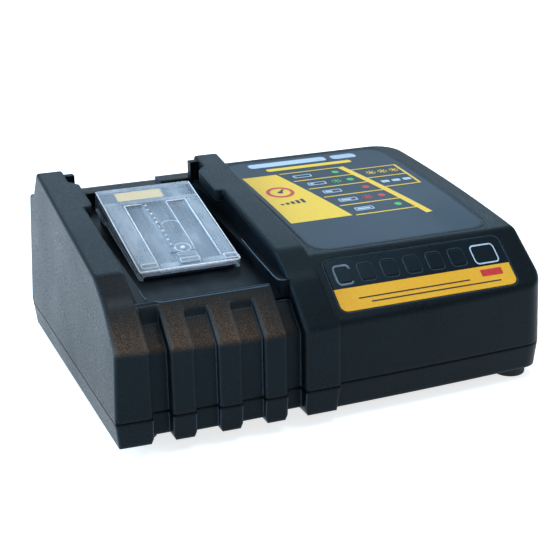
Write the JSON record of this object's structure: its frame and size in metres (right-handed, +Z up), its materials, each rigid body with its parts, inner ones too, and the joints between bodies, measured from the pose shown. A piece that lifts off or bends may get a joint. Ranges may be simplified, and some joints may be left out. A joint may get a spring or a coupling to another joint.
{
  "type": "power tool battery charger",
  "caption": "Desktop charger for slide-on tool batteries: sloping dock between two walls with a clear sliding terminal cover, beside a labelled body with indicator windows.",
  "frame": {"origin": "centre of the footprint on the plane the feet stand on", "axes": "+X to the right along the width, +Y to the rear, +Z up; the dock is on the left, the ribbed front faces -Y"},
  "size_m": [0.19, 0.15, 0.0818],
  "materials": {
    "case": "fine grain, charcoal",
    "liner": "glossy black",
    "block": "satin black",
    "contact": "bright",
    "clear": "clear, slightly milky",
    "yellow_print": "satin print",
    "label_print": "satin print on film",
    "film": "glossy film",
    "light_guide": "clear",
    "led": "diffused",
    "circuit_board": "solder mask",
    "screw": "zinc plated",
    "ferrite": "sintered",
    "winding_tape": "polyester tape",
    "capacitor_sleeve": "shrunk sleeve",
    "choke": "coated core",
    "device_black": "moulded",
    "fuse_glass": "clear tube",
    "heatsink": "mill finish",
    "relay_case": "moulded",
    "fan_plastic": "moulded",
    "inlet_plastic": "moulded",
    "pin_metal": "nickel plated",
    "foot_rubber": "matt",
    "lead_sleeve": "PVC sleeve"
  },
  "bodies": {
    "housing": {"upper_housing": "case", "lower_housing": "case", "dock_liner": "liner", "terminal_block": "block", "positive_terminal": "contact", "negative_terminal": "contact", "signal_terminals": "contact", "main_label": "label_print", "indicator_film": "film", "front_strip": "yellow_print", "indicator_light_guide": "light_guide", "indicator_leds": "led", "indicator_board": "circuit_board", "main_board": "circuit_board", "board_screws": "screw", "transformer_core": "ferrite", "transformer_winding": "winding_tape", "input_capacitor": "capacitor_sleeve", "output_capacitors": "capacitor_sleeve", "common_mode_choke": "choke", "bridge_rectifier": "device_black", "fuse": "fuse_glass", "primary_heatsink": "heatsink", "secondary_heatsink": "heatsink", "power_transistor": "device_black", "output_rectifier": "device_black", "heatsink_screws": "screw", "relay": "relay_case", "buzzer": "device_black", "fan_frame": "fan_plastic", "fan_screws": "screw", "mains_inlet": "inlet_plastic", "inlet_pins": "pin_metal", "rubber_feet": "foot_rubber", "housing_screws": "screw", "output_leads": "lead_sleeve", "mains_leads": "lead_sleeve"},
    "cover": {"protective_cover": "clear", "cover_label": "yellow_print"},
    "fan_rotor": {"fan_rotor": "fan_plastic"}
  },
  "joints": [
    {"name": "cover_slide", "type": "slide", "parent": "housing", "child": "cover", "axis": [0, 0.9686, 0.2487], "range_m": [0, 0.072]},
    {"name": "fan_spin", "type": "hinge", "parent": "housing", "child": "fan_rotor", "pos_m": [-0.0495, 0.0606, 0.037], "axis": [0, 1, 0], "continuous": true}
  ]
}
